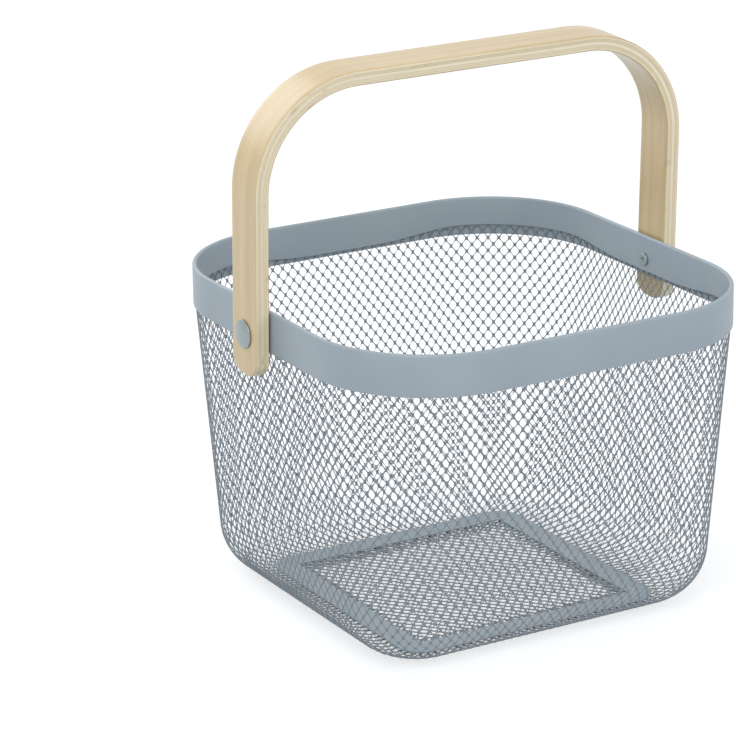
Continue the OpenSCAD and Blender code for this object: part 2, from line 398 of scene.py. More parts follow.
@dataclass(frozen=True)
class PlatedSteel(Finish):
    """Dull nickel or zinc plating on formed steel: a grey metal with faint scuffs from the tool."""

    colour: str
    roughness: float = 0.36
    gloss_up: float = 0.08
    gloss_down: float = 0.12
    scuff_mm: float = 0.9
    scuff_height_mm: float = 0.02

    def shader(self, tree: NodeTree) -> NodeSocket:
        """Makes the plating on Object coordinates.

        Args:
            tree: the material's node tree.

        Returns:
            The shader's output.
        """
        place = add_node(tree, "TexCoord")["Object"]
        scuff = add_node(tree, "TexNoise", {"Vector": place, "Scale": 1 / (self.scuff_mm * MM),
                                            "Detail": 3.0})["Fac"]
        low, high = self.roughness - self.gloss_up, self.roughness + self.gloss_down
        gloss = add_node(tree, "MapRange", {"Value": scuff, "To Min": low,
                                            "To Max": high})["Result"]
        bump = add_node(tree, "Bump", {"Height": scuff, "Distance": self.scuff_height_mm * MM,
                                       "Strength": 0.4})["Normal"]
        return add_node(tree, "BsdfPrincipled", {"Base Color": linear(self.colour), "Metallic": 1.0,
                                                 "Roughness": gloss, "Normal": bump})["BSDF"]


# Cool blue-grey coat; the mesh's is darker by painted shade, as its rounded strands show darker.
SHEET_COAT = PowderCoat("powder_coated_sheet", "#99a6b0", "#9daab3")
SHADED_MESH_COAT = PowderCoat("powder_coated_mesh_painted_shade", "#808b94", "#848f97", roughness=0.38)
# Warm straw on the faces, paler and duller where a veneer is cut along or across its grain.
FACE_VENEER = BirchVeneer("lacquered_birch_face", "#d3bd8f", "#c1a87a", "#a88e67")
CUT_VENEER = BirchVeneer("lacquered_birch_cut_edge", "#ebe1c8", "#dfd2b4", "#cbbd9c", 0.45)
CROSS_VENEER = BirchVeneer("lacquered_birch_cross_cut", "#e0d3b5", "#d3c4a1", "#bfae8a", 0.5)
RIVET_PLATE = PlatedSteel("nickel_plated_steel", "#98a2a4")
WASHER_PLATE = PlatedSteel("zinc_plated_washer", "#9fa6a8", 0.45)


# ---------------------------------------------------------------- the basket's form

@dataclass(frozen=True)
class BasketForm:
    """The mesh body's form: upright hem, sloping walls, a bend and an edge turned in below."""

    rim_half_x: float = 119.0
    rim_half_y: float = 122.5
    rim_corner_r: float = 65.0
    height: float = 175.0
    base_half_x: float = 104.0
    base_half_y: float = 100.0
    base_corner_r: float = 35.0
    bend_r: float = 31.0
    hem_in: float = 0.75
    hem_top: float = 162.0
    wall_top: float = 154.25
    turn_in: float = 15.0
    mesh_t: float = 0.8

    @property
    def hem_half(self) -> Array:
        """Half sizes of the upright hem."""
        return np.array([self.rim_half_x, self.rim_half_y]) - self.hem_in

    @property
    def base_half(self) -> Array:
        """Half sizes where the wall planes meet the floor."""
        return np.array([self.base_half_x, self.base_half_y])

    @property
    def wall_slopes(self) -> Array:
        """The two pairs of walls' angles from upright."""
        return np.arctan((self.hem_half - self.base_half) / self.wall_top)

    @property
    def slope(self) -> float:
        """The mean of the walls' angles from upright."""
        return float(self.wall_slopes.mean())

    @property
    def bend_top(self) -> float:
        """The height at which a wall goes over into the bend."""
        return self.bend_r * (1 - math.sin(self.slope))

    @property
    def flat_half(self) -> Array:
        """Half sizes of the flat of the floor, where the bend ends."""
        a = self.wall_slopes
        return self.base_half + self.bend_r * (np.tan(a) - 1 / np.cos(a))

    def lengths(self) -> tuple[float, float, float, float]:
        """How long the parts of the section are.

        Returns:
            The lengths along the hem, wall, bend and turned-in edge.
        """
        wall = (self.wall_top - self.bend_top) / math.cos(self.slope)
        bend = self.bend_r * (RIGHT_ANGLE - self.slope)
        return self.hem_top - self.wall_top, wall, bend, self.turn_in

    def place(self, share: Array, travel: Array, depth: Array) -> Array:
        """Points on or inside the mesh body.

        The height and the plan's half sizes come from how far down the section the point has
        travelled: straight down the hem, in proportion to the height on the wall, on a circle
        round the bend and level under the floor. The point then moves inwards by its depth
        along the section's normal.

        Args:
            share: how far round the basket, 0 to 1.
            travel: distance along the section from the hem's top.
            depth: distance inwards from the outer face.

        Returns:
            Points with x, y and z in the last axis.
        """
        share, travel, depth = np.broadcast_arrays(share, travel, depth)
        hem, wall, bend, _ = self.lengths()
        down = np.clip((travel - hem) / wall, 0, 1)
        bent = np.clip((travel - hem - wall) / bend, 0, 1)
        angle = self.slope + (RIGHT_ANGLE - self.slope) * bent
        under = np.maximum(travel - hem - wall - bend, 0)
        z_wall = self.wall_top - down * (self.wall_top - self.bend_top)
        rise = z_wall / self.wall_top
        on_wall = travel <= hem + wall
        z = np.where(travel < hem, self.hem_top - travel,
                     np.where(on_wall, z_wall, self.bend_r * (1 - np.sin(angle))))
        out = self.bend_r * np.cos(angle)
        more_r = self.rim_corner_r - self.hem_in - self.base_corner_r
        flat_r = (self.base_corner_r + more_r * self.bend_top / self.wall_top
                  - self.bend_r * math.cos(self.slope))
        half = [np.where(on_wall, base + (top - base) * rise, flat + out - under)
                for base, top, flat in zip(self.base_half, self.hem_half, self.flat_half)]
        radius = np.where(on_wall, self.base_corner_r + more_r * rise,
                          np.maximum(flat_r + out - under, self.mesh_t))
        tilt = np.where(travel < hem, 0.0, angle)
        ring, outward = rounded_ring(*half, radius, share)
        plan = ring - depth[..., None] * outward * np.cos(tilt)[..., None]
        return np.concatenate([plan, (z + depth * np.sin(tilt))[..., None]], axis=-1)


@dataclass(frozen=True)
class Lattice:
    """Expanded metal: round-cornered diamond holes in a sheet, staggered from row to row.

    In units of half a cell, holes lie at whole (i, j) whose sum is even and knots where it is odd.
    A hole's edge is a superellipse, (cos t)^(2/p) times its reach across and (sin t)^(2/p) times
    its reach up, in twelve steps. Halfway through the sheet it is a little smaller, which rounds
    the strands. The press that slits and draws the sheet tilts each strand and knot: along a hole's
    edge the sheet moves outwards by the tilt times sin t, so it lies out above the hole and in
    below it.
    """

    across: float = 0.80
    up: float = 0.79
    waist: float = 0.04
    power: float = 1.42
    sheet_t: float = 0.4
    tilt: float = 0.19
    lie: float = 0.4

    STEPS = 12
    # The points round a knot, and round each of the two strands below it. Each is given by its
    # hole, so many half cells across and down from the knot, and its step on the hole's edge.
    KNOT = ((-1, 0, 1), (-1, 0, 0), (-1, 0, 11), (0, 1, 4), (0, 1, 3), (0, 1, 2),
            (1, 0, 7), (1, 0, 6), (1, 0, 5), (0, -1, 10), (0, -1, 9), (0, -1, 8))
    STRANDS = (((1, 0, 7), (0, 1, 2), (0, 1, 1), (1, 0, 8)),
               ((0, 1, 4), (-1, 0, 11), (-1, 0, 10), (0, 1, 5)))

    @property
    def angles(self) -> Array:
        """The angle t at each step of a hole's edge."""
        return 2 * math.pi * np.arange(self.STEPS) / self.STEPS

    def hole(self, inset: float) -> Array:
        """A hole's edge round its middle.

        Args:
            inset: how much smaller its reach is than at the sheet's faces, in half cells.

        Returns:
            One row of across and down for each step.
        """
        wave = np.stack([np.cos(self.angles), np.sin(self.angles)], axis=-1)
        reach = np.array([self.across - inset, inset - self.up])
        return reach * np.sign(wave) * np.abs(wave) ** (2 / self.power)

    def patch(self, first: int, last: int, rows: int) -> tuple[Array, Array, Array, list[Array]]:
        """The lattice between two columns of half cells.

        Each knot is a fan of twelve triangles between the four holes round it, and each strand a
        quad between two. Both lie on the sheet's outer and inner face, and every edge that only
        one of them has, round the holes and where the patch is cut, gets a wall of two quads.

        Args:
            first: the first column of half cells.
            last: the column after the last one.
            rows: how many half cells there are down the sheet.

        Returns:
            The vertices' places across and down in half cells, their depths in millimetres in
            from the outside of the sheet, how far a full tilt moves them inwards, and the faces.
        """
        i, j = np.arange(first - 1, last + 2), np.arange(-1, rows + 2)
        middles = np.stack(np.meshgrid(i, j, indexing="ij"), axis=-1).astype(float).reshape(-1, 2)
        n_cells, n_edge = len(middles), len(middles) * self.STEPS
        outer, waist = [(middles[:, None] + self.hole(inset)).reshape(-1, 2)
                        for inset in (0.0, self.waist)]
        spots = np.concatenate([outer, middles, waist, outer, middles])
        face = n_edge + n_cells
        inner = face + n_edge
        half = self.sheet_t / 2
        depth = self.lie + np.repeat([-half, 0.0, half], [face, n_edge, face])
        moved, still = np.tile(-self.tilt * np.sin(self.angles), n_cells), np.zeros(n_cells)
        turned = np.concatenate([moved, still, moved, moved, still])

        def numbers(cells: Array, places: tuple[tuple[int, int, int], ...]) -> Array:
            """The vertices at some places from each cell, one row a cell."""
            return np.stack([(cells + across * len(j) + down) * self.STEPS + step
                             for across, down, step in places], axis=-1)

        across, down = np.meshgrid(np.arange(first, last), np.arange(rows + 1), indexing="ij")
        cells = (across - i[0]) * len(j) + (down - j[0])
        is_knot = (across + down) % 2 == 1
        knots, hung = cells[is_knot], cells[is_knot & (down < rows)]
        around = numbers(knots, self.KNOT)
        middle = np.broadcast_to(n_edge + knots[:, None], around.shape)
        fans = np.stack([middle, around, np.roll(around, -1, axis=1)], axis=-1).reshape(-1, 3)
        strands = np.concatenate([numbers(hung, strand) for strand in self.STRANDS])
        a, b = lone_edges([fans, strands])
        walls = [np.stack([b + near, a + near, a + far, b + far], axis=-1)
                 for near, far in ((0, face), (face, inner))]
        faces = [fans, strands, (fans + inner)[:, ::-1], (strands + inner)[:, ::-1], *walls]
        return spots, depth, turned, faces


@dataclass
class MeshBody:
    """The basket's walls: one sheet of expanded steel, shown as four walls and four corners.

    Drawn into shape, its diamonds aren't all alike. They are a tenth narrower on the two walls
    across the span and lean there, and they grow taller towards the floor.
    """

    form: BasketForm
    lattice: Lattice
    columns: int = 143
    rows: int = 50
    side_crowding: float = 0.14
    side_middle: float = 0.25
    side_reach: float = 0.055
    side_softness: float = 0.008
    front_corner: float = 0.875
    turnover_gain: float = 1.6
    lean: float = 0.08
    growth: float = 0.07
    samples: int = 6000

    NAMES = ("front", "front_right", "right", "back_right",
             "back", "back_left", "left", "front_left")

    def on_side(self, share: Array) -> Array:
        """Tells the two walls across the span from the rest, with soft ends.

        It is 1 / (1 + exp((d - reach) / softness)) at a distance d from the nearer one's middle,
        as a share of the way round.

        Args:
            share: how far round the basket, 0 to 1.

        Returns:
            Nearly 1 on those walls and nearly 0 elsewhere.
        """
        near = np.abs((share + self.side_middle) % 0.5 - self.side_middle)
        return 1 / (1 + np.exp(((self.side_middle - near) - self.side_reach) / self.side_softness))

    def turnover(self, share: Array) -> Array:
        """The strands' tilt as a share of a full one.

        It is -gain * cos(2 pi (share - front corner)), held between -1 and 1, so it turns over
        between the back and the front corner. A real sheet's tilt doesn't. This is there for the
        look, because rounded strands catch the light from above more than these few faces do.

        Args:
            share: how far round the basket, 0 to 1.

        Returns:
            The share of a full tilt, from -1 to 1.
        """
        wave = np.cos(2 * math.pi * (share - self.front_corner))
        return np.clip(-self.turnover_gain * wave, -1, 1)

    def spread(self, i: Array, j: Array) -> tuple[Array, Array]:
        """Turns places in half cells into shares of the way round and of the way down.

        The share round is where the running sum of the columns' density, 1 + crowding * on_side,
        reaches i half columns; the lean takes off lean * on_side half columns for each row. It is
        sampled once round and once more to either side. The share down is (1 - g) u + g u^2 at
        u = j / rows.

        Args:
            i: places round the basket, in half columns.
            j: places down the sheet, in half rows.

        Returns:
            The shares round and down.
        """
        fine = np.linspace(-1, 2, self.samples + 1)
        density = 1 + self.side_crowding * self.on_side((fine[1:] + fine[:-1]) / 2)
        reached = np.concatenate([[0], np.cumsum(density)])
        reached = 3 * reached / reached[-1] - 1
        upright = np.interp(i / (2 * self.columns), reached, fine)
        leaning = i - self.lean * self.on_side(upright) * j
        u = j / self.rows
        down = (1 - self.growth) * u + self.growth * u * u
        return np.interp(leaning / (2 * self.columns), reached, fine), down

    def build(self, coat: Material) -> list[Object]:
        """Makes the eight pieces.

        Args:
            coat: the mesh's powder coat, its colour darkened by painted shade.

        Returns:
            The pieces, riding on the basket in place of the wall mesh's solid.
        """
        total, parts = sum(self.form.lengths()), len(self.NAMES)
        cuts = np.round((np.arange(parts + 1) - 0.5) * 2 * self.columns / parts).astype(int)
        pieces = []
        for name, first, last in zip(self.NAMES, cuts[:-1], cuts[1:]):
            spots, depth, turned, faces = self.lattice.patch(first, last, self.rows)
            share, down = self.spread(spots[:, 0], spots[:, 1])
            points = self.form.place(share, down * total, depth + turned * self.turnover(share))
            piece = closed_object("wall_mesh_" + name, points, faces, [coat], MESH_SMOOTH_DEG)
            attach(piece, "basket")
            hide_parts("wall_mesh")
            pieces.append(piece)
        return pieces


@dataclass
class Floor:
    """The floor: an expanded-metal panel under a flat square frame of steel strip."""

    lattice: Lattice
    mesh_t: float = 0.8
    panel_half: float = 68.0
    columns: int = 24
    rows: int = 39
    frame_half: float = 77.0
    frame_corner_r: float = 14.0
    opening_half: float = 64.0
    opening_corner_r: float = 1.0
    frame_t: float = 0.8
    frame_edge_r: float = 0.25
    edge_steps: int = 3

    # Stretches of a quarter of the way round, each with the number of stations on it: closest at
    # the opening's tight corner, and close on the frame's wide one.
    STRETCHES = ((0, 0.42, 7), (0.425, 0.48, 8), (0.484, 0.516, 17), (0.52, 0.575, 8), (0.58, 1, 8))

    def panel(self, coat: Material) -> Object:
        """Makes the panel, level, one sheet above the ground.

        Args:
            coat: the mesh's powder coat, its colour darkened by painted shade.

        Returns:
            The panel, riding on the basket.
        """
        spots, depth, turned, faces = self.lattice.patch(0, 2 * self.columns, self.rows)
        plan = (spots / [2 * self.columns, self.rows] - 0.5) * 2 * self.panel_half
        points = np.column_stack([plan, 2 * self.mesh_t - depth - turned])
        piece = closed_object("floor_panel", points, faces, [coat], MESH_SMOOTH_DEG)
        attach(piece, "basket")
        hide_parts("floor_mesh")
        return piece

    def frame(self, coat: Material) -> Object:
        """Makes the frame.

        A section with four rounded edges runs round the floor, and each of its points lies at a
        share of the way from the opening's outline to the frame's.

        Args:
            coat: the sheet's powder coat.

        Returns:
            The frame, riding on the basket.
        """
        low, r, width = 2 * self.mesh_t, self.frame_edge_r, self.frame_half - self.opening_half
        high = low + self.frame_t
        centres = ((width - r, low + r), (width - r, high - r), (r, high - r), (r, low + r))
        section = np.concatenate([arc_points(centre, r, 90 * k - 90, 90, self.edge_steps)
                                  for k, centre in enumerate(centres)])
        quarter = np.concatenate([np.linspace(*stretch) for stretch in self.STRETCHES])[:-1]
        share = np.concatenate([(quarter + k) / 4 for k in range(4)])
        outer, _ = rounded_ring(self.frame_half, self.frame_half, self.frame_corner_r, share)
        inner, _ = rounded_ring(self.opening_half, self.opening_half, self.opening_corner_r, share)
        across = section[None, :, :1] / width
        plan = inner[:, None, :] * (1 - across) + outer[:, None, :] * across
        piece = ring_object("floor_strip", plan, np.tile(section[:, 1], (len(share), 1)), coat)
        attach(piece, "basket")
        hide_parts("floor_frame")
        return piece


@dataclass
class Rim:
    """The rim: a steel strip folded over the mesh, its outer band deeper than its inner flange.

    The steps are those of the mesh: on half a side, on a corner, and on the section's arcs.
    """

    form: BasketForm
    band_h: float = 22.0
    flange_h: float = 19.5
    fold_t: float = 2.5
    sheet: float = 0.6
    corner_lift: float = 3.5
    lift_full: float = 30.0
    lift_none: float = 82.0
    side_steps: int = 10
    corner_steps: int = 28
    fold_steps: int = 16
    inside_steps: int = 10
    edge_steps: int = 6

    def section(self) -> Array:
        """The folded section as a closed line of inset and height.

        It goes up the outer face, over the fold, down the inner face, round the flange's lower
        edge, up inside, under the fold, down inside the band and round the band's lower edge.

        Returns:
            One row of inset from the outer face and height for each point.
        """
        top, r, e = self.form.height, self.fold_t / 2, self.sheet / 2
        centre = (r, top - r)
        flange, band = (self.fold_t - e, top - self.flange_h + e), (e, top - self.band_h + e)
        return np.concatenate([arc_points(centre, r, 180, -180, self.fold_steps),
                               arc_points(flange, e, 0, -180, self.edge_steps),
                               arc_points(centre, r - self.sheet, 0, 180, self.inside_steps),
                               arc_points(band, e, 0, -180, self.edge_steps)])

    def lift(self, section: Array, plan: Array) -> Array:
        """How much higher each point lies than on the sides.

        Folding gathers the flange at the corners and draws its lower edge up there, by
        corner_lift * (3 t^2 - 2 t^3), where t goes from 1 to 0 between the distances lift_full and
        lift_none from the middle of the nearest corner.

        Args:
            section: the section's points.
            plan: the stations' places on the rim's outer face.

        Returns:
            One row for each station and one column for each point of the section.
        """
        low = section[:, 1] < self.form.height - self.flange_h + self.sheet
        inner = section[:, 0] > self.fold_t / 2
        cut = self.form.rim_corner_r * (1 - math.sqrt(0.5))
        middle = np.array([self.form.rim_half_x - cut, self.form.rim_half_y - cut])
        away = np.linalg.norm(np.abs(plan) - middle, axis=1)
        t = np.clip((self.lift_none - away) / (self.lift_none - self.lift_full), 0, 1)
        return self.corner_lift * (t * t * (3 - 2 * t))[:, None] * (low & inner)[None, :]

    def stations(self) -> tuple[Array, Array]:
        """Places round the rim's outer face, closer together on its corners.

        Returns:
            The stations' x and y, and their outward directions.
        """
        x, y, r = self.form.rim_half_x, self.form.rim_half_y, self.form.rim_corner_r
        length = x + y - 2 * r + r * math.pi / 2
        shares = []
        for k in range(4):
            straight = (x if k % 2 == 0 else y) - r
            marks = (0, straight / length, (straight + r * math.pi / 2) / length, 1)
            steps = (self.side_steps, self.corner_steps, self.side_steps)
            shares += [(np.linspace(start, end, n + 1)[:-1] + k) / 4
                       for start, end, n in zip(marks, marks[1:], steps)]
        return rounded_ring(x, y, r, np.concatenate(shares))

    def build(self, coat: Material) -> Object:
        """Carries the section round the rim.

        Each point moves in from the outer face by its inset and up by its lift.

        Args:
            coat: the sheet's powder coat.

        Returns:
            The rim, riding on the basket.
        """
        section = self.section()
        plan, outward = self.stations()
        flat = plan[:, None, :] - section[None, :, :1] * outward[:, None, :]
        piece = ring_object("folded_rim", flat, section[:, 1] + self.lift(section, plan), coat)
        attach(piece, "basket")
        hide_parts("rim_band")
        return piece


# ---------------------------------------------------------------- the handle

class Layer(Enum):
    """The handle's five plies, from the outer face inwards, with each one's node."""

    OUTER_FACE = "ply_outer_face"
    OUTER_CROSS = "ply_outer_cross"
    MIDDLE = "ply_middle"
    INNER_CROSS = "ply_inner_cross"
    INNER_FACE = "ply_inner_face"


@dataclass
class BentHandle:
    """The handle: five veneers pressed into a flat-topped arch, rounded at its feet.

    Its outer arrises are rounded by arris_r, and the edges between two plies by joint_r.
    """

    width: float = 24.6
    ply_t: float = 1.6
    leg_out: float = 127.9
    top: float = 294.5
    bend_r: float = 59.0
    pivot: float = 162.0
    tail: float = 21.6
    end_r: float = 9.0
    lean_deg: float = 2.0
    bore_r: float = 2.6
    arris_r: float = 0.7
    joint_r: float = 0.04
    bore_reach: float = 8.0
    bore_steps: int = 8
    bore_rings: int = 5
    bend_steps: int = 24
    bar_steps: int = 12
    foot_steps: int = 10
    below_steps: int = 3
    above_steps: int = 9
    side_steps: int = 2
    grain_shift: float = 37.0

    # Where the extra rows and the outermost columns lie, as shares of the arris's radius.
    ARRIS_ROWS = (0.2, 0.7)
    ARRIS_COLUMNS = (0.0, 0.12, 0.45, 1.0)

    def foot_rows(self) -> tuple[Array, Array, int]:
        """Heights above the foot of the rows on one leg, up to its bend.

        Returns:
            The heights, half the strip's width at each, and the first row of the square round
            the bore.
        """
        low, high = self.tail - self.bore_reach, self.tail + self.bore_reach
        leg = self.top - self.bend_r - (self.pivot - self.tail)
        a = np.radians(np.linspace(0, 90, self.foot_steps + 1))
        foot = np.sort(np.concatenate([self.end_r * (1 - np.cos(a)),
                                       np.array(self.ARRIS_ROWS) * self.arris_r]))
        between = np.linspace(self.end_r, low, self.below_steps + 1)[1:-1]
        square = np.linspace(low, high, self.bore_steps + 1)
        above = np.linspace(high, leg, self.above_steps + 1)[1:]
        h = np.concatenate([foot, between, square, above])
        inset = self.end_r ** 2 - np.maximum(self.end_r - h, 0) ** 2
        half = self.width / 2 - self.end_r + np.sqrt(np.maximum(inset, 0))
        return h, half, len(foot) + len(between)

    def stations(self) -> tuple[Array, Array, Array, Array, Array]:
        """The rows along the strip, from one foot over the crossbar to the other.

        Returns:
            Points of the outer face in x and z, their outward directions, the distance along the
            strip, half its width, and the height above the nearer foot, one for each row. Past
            the legs that height is only a large one.
        """
        h, half, _ = self.foot_rows()
        spring, r = self.top - self.bend_r, self.bend_r
        leg = np.stack([np.full(len(h), -self.leg_out), self.pivot - self.tail + h], axis=-1)
        a = np.radians(np.linspace(180, 90, self.bend_steps + 1)[1:])
        bend = np.stack([r - self.leg_out + r * np.cos(a), spring + r * np.sin(a)], axis=-1)
        bar_x = np.linspace(r - self.leg_out, 0, self.bar_steps + 1)[1:]
        bar = np.stack([bar_x, np.full(self.bar_steps, self.top)], axis=-1)
        line = np.concatenate([leg, bend, bar])
        out = np.concatenate([np.tile([-1.0, 0.0], (len(leg), 1)),
                              np.stack([np.cos(a), np.sin(a)], axis=-1),
                              np.tile([0.0, 1.0], (len(bar), 1))])
        middle = line - len(Layer) / 2 * self.ply_t * out
        steps = np.linalg.norm(np.diff(middle, axis=0), axis=1)
        run = np.concatenate([[0], np.cumsum(steps)])
        past = (0, len(bend) + len(bar))
        half = np.pad(half, past, constant_values=self.width / 2)
        rise = np.pad(h, past, constant_values=self.top)
        flip = np.array([-1.0, 1.0])
        return tuple(np.concatenate([this, other[-2::-1]]) for this, other in (
            (line, line * flip), (out, out * flip), (run, 2 * run[-1] - run), (half, half),
            (rise, rise)))

    def columns(self) -> tuple[Array, Array, int]:
        """The columns across the strip.

        Returns:
            For each column its distance in from the nearer edge (or less than zero where it moves
            in proportion to the width), its share of the width inside the arrises, and the first
            column of the square round the bore.
        """
        inside = self.width / 2 - self.arris_r
        square = np.linspace(-self.bore_reach, self.bore_reach, self.bore_steps + 1)
        side = np.linspace(self.bore_reach, inside, self.side_steps + 1)[1:-1]
        edge = np.array(self.ARRIS_COLUMNS) * self.arris_r
        ends = np.ones(len(edge))
        share = np.concatenate([-ends, -side[::-1] / inside, square / inside, side / inside, ends])
        distance = np.concatenate([edge, np.full(len(share) - 2 * len(edge), -1.0), edge[::-1]])
        return distance, share, len(edge) + len(side)

    def depth(self, y: Array, rise: Array, radius: float) -> Array:
        """How far a rounded arris draws back the face: r - sqrt(r^2 - (r - d)^2).

        Args:
            y: the points' places across the strip.
            rise: their heights above the nearer foot.
            radius: the arris's radius r. The outline is at the distance d.

        Returns:
            The depth at each point.
        """
        dx = np.abs(y) - (self.width / 2 - self.end_r)
        dz = self.end_r - rise
        outside = np.hypot(np.maximum(dx, 0), np.maximum(dz, 0)) + np.minimum(np.maximum(dx, dz), 0)
        d = np.clip(self.end_r - outside, 0, radius)
        return radius - np.sqrt(np.maximum(radius ** 2 - (radius - d) ** 2, 0))

    def leaned(self, points: Array) -> Array:
        """Turns points about the pivots' line by the angle at which the handle stands.

        Args:
            points: points of the upright handle.

        Returns:
            The points, turned.
        """
        a = math.radians(self.lean_deg)
        y, z = points[:, 1], points[:, 2] - self.pivot
        return np.stack([points[:, 0], y * math.cos(a) - z * math.sin(a),
                         self.pivot + y * math.sin(a) + z * math.cos(a)], axis=-1)

    def bore(self, border: Array) -> Array:
        """Rings that turn from the square round a bore into the bore's circle.

        At share t of the way, a ring lies at (1 - t) * border + t * circle.

        Args:
            border: the points of the square, in order round it.

        Returns:
            The rings' points, by ring and by place round it, the last of them on the circle.
        """
        centre = np.array([border[:, 0].mean(), 0.0, self.pivot])
        rim = border - centre
        angle = np.arctan2(rim[:, 1], rim[:, 2])
        circle = np.stack([0 * angle, np.sin(angle), np.cos(angle)], axis=-1) * self.bore_r
        t = (np.arange(1, self.bore_rings + 1) / self.bore_rings)[:, None, None]
        return centre + rim * (1 - t) + circle * t

    def borders(self, rows: int, first_column: int) -> list[tuple[Array, Array]]:
        """The borders of the squares round the two bores, in the grid of a ply's face.

        Args:
            rows: how many rows the grid has.
            first_column: the first column of both squares.

        Returns:
            For each bore the rows and the columns of the border's points, in order round it.
        """
        n, first_row = self.bore_steps, self.foot_rows()[2]
        up, full, none = np.arange(n), np.full(n, n), np.zeros(n, int)
        i, j = np.concatenate([up, full, n - up, none]), np.concatenate([none, up, full, n - up])
        return [(i + start, j + first_column) for start in (first_row, rows - 1 - first_row - n)]

    def face(self, flat: Array, y: Array, run: Array, strip: Array,
             borders: list[tuple[Array, Array]]) -> tuple[Array, Array, Array]:
        """One face of a ply, with a bore in each leg.

        Args:
            flat: x and z of the grid's points.
            y: their places across the strip.
            run: each row's distance along the strip.
            strip: the grid's quads outside the squares round the bores.
            borders: the squares' borders.

        Returns:
            The face's points, their places on the grain map, and its quads.
        """
        grid = np.stack([flat[..., 0], y, flat[..., 1]], axis=-1)
        points, quads = [grid.reshape(-1, 3)], [strip]
        uv = [np.stack([np.broadcast_to(run[:, None], y.shape), y], axis=-1).reshape(-1, 2)]
        for leg, (i, j) in enumerate(borders):
            rings = self.bore(grid[i, j])
            along = self.tail + rings[..., 2] - self.pivot
            along = run[-1] - along if leg else along
            added = sum(map(len, points)) + np.arange(along.size).reshape(along.shape)
            numbers = np.vstack([i * y.shape[1] + j, added])
            here, there = numbers[:-1], numbers[1:]
            quads.append(np.stack([here, np.roll(here, -1, axis=1), np.roll(there, -1, axis=1),
                                   there], axis=-1).reshape(-1, 4))
            points.append(rings.reshape(-1, 3))
            uv.append(np.stack([along, rings[..., 1]], axis=-1).reshape(-1, 2))
        return np.concatenate(points), np.concatenate(uv), np.concatenate(quads)

    def ply(self, layer: Layer, count: int, veneer: Material, cut: Material) -> Object:
        """Makes one ply.

        Its outer and inner faces are grids along and across the strip, each drawn in along the
        strip's normal by its depth. Round each bore a square of the grid gives way to rings that
        turn from the square into the bore's circle. Walls close the long edges, feet and bores.

        Args:
            layer: which ply it is.
            count: its place, counted from the outer face.
            veneer: the material of its faces.
            cut: the material of its cut edges.

        Returns:
            The ply, riding on the handle.
        """
        line, out, run, half, rise = self.stations()
        distance, share, first_column = self.columns()
        y = np.where(distance >= 0, np.sign(share) * (half[:, None] - distance),
                     share * (half[:, None] - self.arris_r))
        borders = self.borders(len(run), first_column)
        kept = np.ones((len(run) - 1, len(share) - 1), bool)
        for i, j in borders:
            kept[i.min():i.max(), j.min():j.max()] = False
        strip = grid_faces(*y.shape)[kept.ravel()]
        sides = []
        for side, outermost in enumerate((Layer.OUTER_FACE, Layer.INNER_FACE)):
            radius = self.arris_r if layer is outermost else self.joint_r
            arris = self.depth(y, rise[:, None], radius)
            drawn = (count + side) * self.ply_t + (1 - 2 * side) * arris
            flat = line[:, None, :] - drawn[:, :, None] * out[:, None, :]
            sides.append(self.face(flat, y, run, strip, borders))
        points, uv, quads = zip(*sides)
        size = len(points[0])
        outer, inner = quads[0], quads[1][:, ::-1] + size
        a, b = lone_edges([outer])
        walls = np.stack([b, a, a + size, b + size], axis=-1)
        piece = closed_object(layer.value + "_veneer", self.leaned(np.concatenate(points)),
                              [outer, inner, walls], [veneer, cut],
                              uv=np.concatenate(uv) + [0, self.grain_shift * count])
        is_wall = np.arange(len(piece.data.polygons)) >= len(outer) + len(inner)
        piece.data.polygons.foreach_set("material_index", is_wall.astype(np.int32))
        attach(piece, "handle")
        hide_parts(layer.value)
        return piece

    def build(self) -> list[Object]:
        """Makes the five plies, with the cross plies a little darker on their cut edges."""
        face, cuts = FACE_VENEER.material(), (CUT_VENEER.material(), CROSS_VENEER.material())
        return [self.ply(layer, count, face, cuts[count % 2]) for count, layer in enumerate(Layer)]


